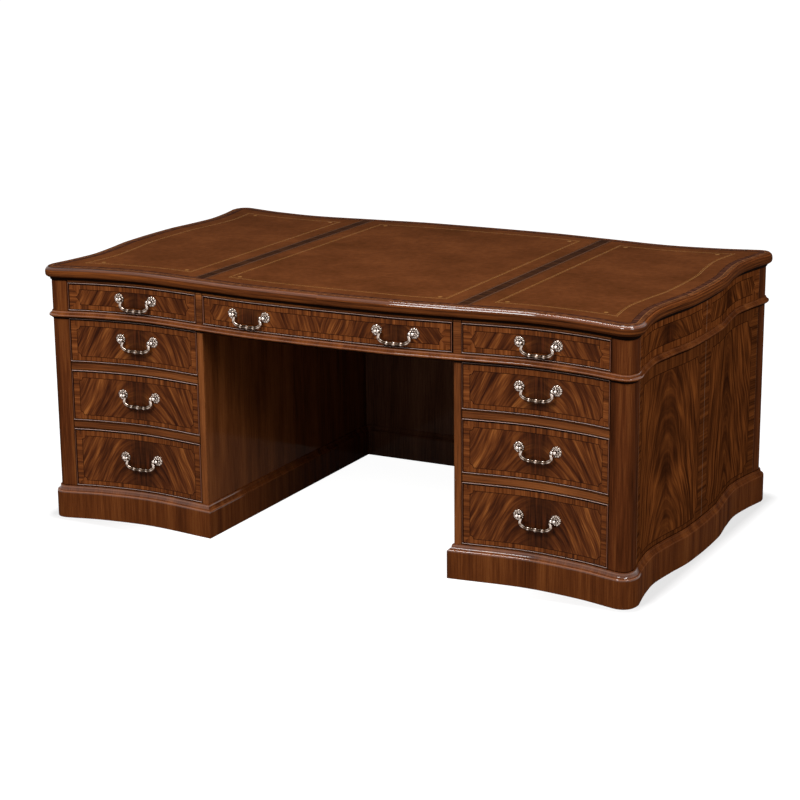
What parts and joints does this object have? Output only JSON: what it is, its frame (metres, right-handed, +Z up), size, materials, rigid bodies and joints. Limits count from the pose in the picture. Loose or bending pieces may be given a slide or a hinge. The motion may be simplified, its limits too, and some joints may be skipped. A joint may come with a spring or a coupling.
{
  "type": "pedestal writing desk",
  "caption": "Serpentine mahogany kneehole desk with inset leather writing panels, two drawer pedestals, frieze drawers and swinging bail pulls.",
  "frame": {"origin": "on the floor under the middle of the desk", "axes": "+X to the right seen from the front, +Y towards the back, +Z up"},
  "size_m": [1.926, 1.153, 0.785],
  "materials": {
    "flame_mahogany": "figured crotch mahogany veneer, rubbed satin varnish",
    "banded_mahogany": "straight-grained mahogany, rubbed satin varnish",
    "tooled_leather": "brown hide with fine grain and gilt tooling",
    "drawer_lining": "pale oiled lining timber",
    "antique_brass": "cast brass with a pale worn silvery patina"
  },
  "bodies": {
    "carcase": {"frieze_back": "flame_mahogany", "frieze_bottom_board": "banded_mahogany", "frieze_frame": "banded_mahogany", "frieze_side_left": "flame_mahogany", "frieze_side_right": "flame_mahogany", "leather_centre": "tooled_leather", "leather_left": "tooled_leather", "leather_right": "tooled_leather", "left_back": "flame_mahogany", "left_bottom": "banded_mahogany", "left_front_post": "banded_mahogany", "left_inner_side": "banded_mahogany", "left_lower_rail": "banded_mahogany", "left_outer_side": "flame_mahogany", "left_plinth": "banded_mahogany", "left_rear_post": "banded_mahogany", "left_upper_rail": "banded_mahogany", "modesty_panel": "banded_mahogany", "modesty_plinth": "banded_mahogany", "right_back": "flame_mahogany", "right_bottom": "banded_mahogany", "right_front_post": "banded_mahogany", "right_inner_side": "banded_mahogany", "right_lower_rail": "banded_mahogany", "right_outer_side": "flame_mahogany", "right_plinth": "banded_mahogany", "right_rear_post": "banded_mahogany", "right_upper_rail": "banded_mahogany", "top_board": "banded_mahogany", "waist_moulding": "banded_mahogany"},
    "centre_drawer": {"centre_drawer_front": "flame_mahogany", "centre_drawer_box": "drawer_lining"},
    "left_frieze_drawer": {"left_frieze_drawer_front": "flame_mahogany", "left_frieze_drawer_box": "drawer_lining"},
    "left_upper_drawer": {"left_upper_drawer_front": "flame_mahogany", "left_upper_drawer_box": "drawer_lining"},
    "left_middle_drawer": {"left_middle_drawer_front": "flame_mahogany", "left_middle_drawer_box": "drawer_lining"},
    "left_lower_drawer": {"left_lower_drawer_front": "flame_mahogany", "left_lower_drawer_box": "drawer_lining"},
    "right_frieze_drawer": {"right_frieze_drawer_front": "flame_mahogany", "right_frieze_drawer_box": "drawer_lining"},
    "right_upper_drawer": {"right_upper_drawer_front": "flame_mahogany", "right_upper_drawer_box": "drawer_lining"},
    "right_middle_drawer": {"right_middle_drawer_front": "flame_mahogany", "right_middle_drawer_box": "drawer_lining"},
    "right_lower_drawer": {"right_lower_drawer_front": "flame_mahogany", "right_lower_drawer_box": "drawer_lining"},
    "centre_left_bail": {"centre_left_bail": "antique_brass"},
    "centre_right_bail": {"centre_right_bail": "antique_brass"},
    "left_frieze_bail": {"left_frieze_bail": "antique_brass"},
    "left_lower_bail": {"left_lower_bail": "antique_brass"},
    "left_middle_bail": {"left_middle_bail": "antique_brass"},
    "left_upper_bail": {"left_upper_bail": "antique_brass"},
    "right_frieze_bail": {"right_frieze_bail": "antique_brass"},
    "right_lower_bail": {"right_lower_bail": "antique_brass"},
    "right_middle_bail": {"right_middle_bail": "antique_brass"},
    "right_upper_bail": {"right_upper_bail": "antique_brass"}
  },
  "joints": [
    {"name": "centre_drawer_slide", "type": "slide", "parent": "carcase", "child": "centre_drawer", "axis": [0, -1, 0], "range_m": [0, 0.42]},
    {"name": "left_frieze_drawer_slide", "type": "slide", "parent": "carcase", "child": "left_frieze_drawer", "axis": [0, -1, 0], "range_m": [0, 0.42]},
    {"name": "left_upper_drawer_slide", "type": "slide", "parent": "carcase", "child": "left_upper_drawer", "axis": [0, -1, 0], "range_m": [0, 0.42]},
    {"name": "left_middle_drawer_slide", "type": "slide", "parent": "carcase", "child": "left_middle_drawer", "axis": [0, -1, 0], "range_m": [0, 0.42]},
    {"name": "left_lower_drawer_slide", "type": "slide", "parent": "carcase", "child": "left_lower_drawer", "axis": [0, -1, 0], "range_m": [0, 0.42]},
    {"name": "right_frieze_drawer_slide", "type": "slide", "parent": "carcase", "child": "right_frieze_drawer", "axis": [0, -1, 0], "range_m": [0, 0.42]},
    {"name": "right_upper_drawer_slide", "type": "slide", "parent": "carcase", "child": "right_upper_drawer", "axis": [0, -1, 0], "range_m": [0, 0.42]},
    {"name": "right_middle_drawer_slide", "type": "slide", "parent": "carcase", "child": "right_middle_drawer", "axis": [0, -1, 0], "range_m": [0, 0.42]},
    {"name": "right_lower_drawer_slide", "type": "slide", "parent": "carcase", "child": "right_lower_drawer", "axis": [0, -1, 0], "range_m": [0, 0.42]},
    {"name": "centre_left_bail_swing", "type": "hinge", "parent": "centre_drawer", "child": "centre_left_bail", "pos_m": [-0.2378, -0.56373, 0.6983], "axis": [-0.9977, 0.0671, 0], "range_deg": [-8, 100]},
    {"name": "centre_right_bail_swing", "type": "hinge", "parent": "centre_drawer", "child": "centre_right_bail", "pos_m": [0.2378, -0.56373, 0.6983], "axis": [-0.9977, -0.0671, 0], "range_deg": [-8, 100]},
    {"name": "left_frieze_bail_swing", "type": "hinge", "parent": "left_frieze_drawer", "child": "left_frieze_bail", "pos_m": [-0.6537, -0.53035, 0.6983], "axis": [-0.9997, -0.0246, 0], "range_deg": [-8, 100]},
    {"name": "left_lower_bail_swing", "type": "hinge", "parent": "left_lower_drawer", "child": "left_lower_bail", "pos_m": [-0.6537, -0.53035, 0.2065], "axis": [-0.9997, -0.0246, 0], "range_deg": [-8, 100]},
    {"name": "left_middle_bail_swing", "type": "hinge", "parent": "left_middle_drawer", "child": "left_middle_bail", "pos_m": [-0.6537, -0.53035, 0.4023], "axis": [-0.9997, -0.0246, 0], "range_deg": [-8, 100]},
    {"name": "left_upper_bail_swing", "type": "hinge", "parent": "left_upper_drawer", "child": "left_upper_bail", "pos_m": [-0.6537, -0.53035, 0.57425], "axis": [-0.9997, -0.0246, 0], "range_deg": [-8, 100]},
    {"name": "right_frieze_bail_swing", "type": "hinge", "parent": "right_frieze_drawer", "child": "right_frieze_bail", "pos_m": [0.6537, -0.53035, 0.6983], "axis": [-0.9997, 0.0246, 0], "range_deg": [-8, 100]},
    {"name": "right_lower_bail_swing", "type": "hinge", "parent": "right_lower_drawer", "child": "right_lower_bail", "pos_m": [0.6537, -0.53035, 0.2065], "axis": [-0.9997, 0.0246, 0], "range_deg": [-8, 100]},
    {"name": "right_middle_bail_swing", "type": "hinge", "parent": "right_middle_drawer", "child": "right_middle_bail", "pos_m": [0.6537, -0.53035, 0.4023], "axis": [-0.9997, 0.0246, 0], "range_deg": [-8, 100]},
    {"name": "right_upper_bail_swing", "type": "hinge", "parent": "right_upper_drawer", "child": "right_upper_bail", "pos_m": [0.6537, -0.53035, 0.57425], "axis": [-0.9997, 0.0246, 0], "range_deg": [-8, 100]}
  ]
}
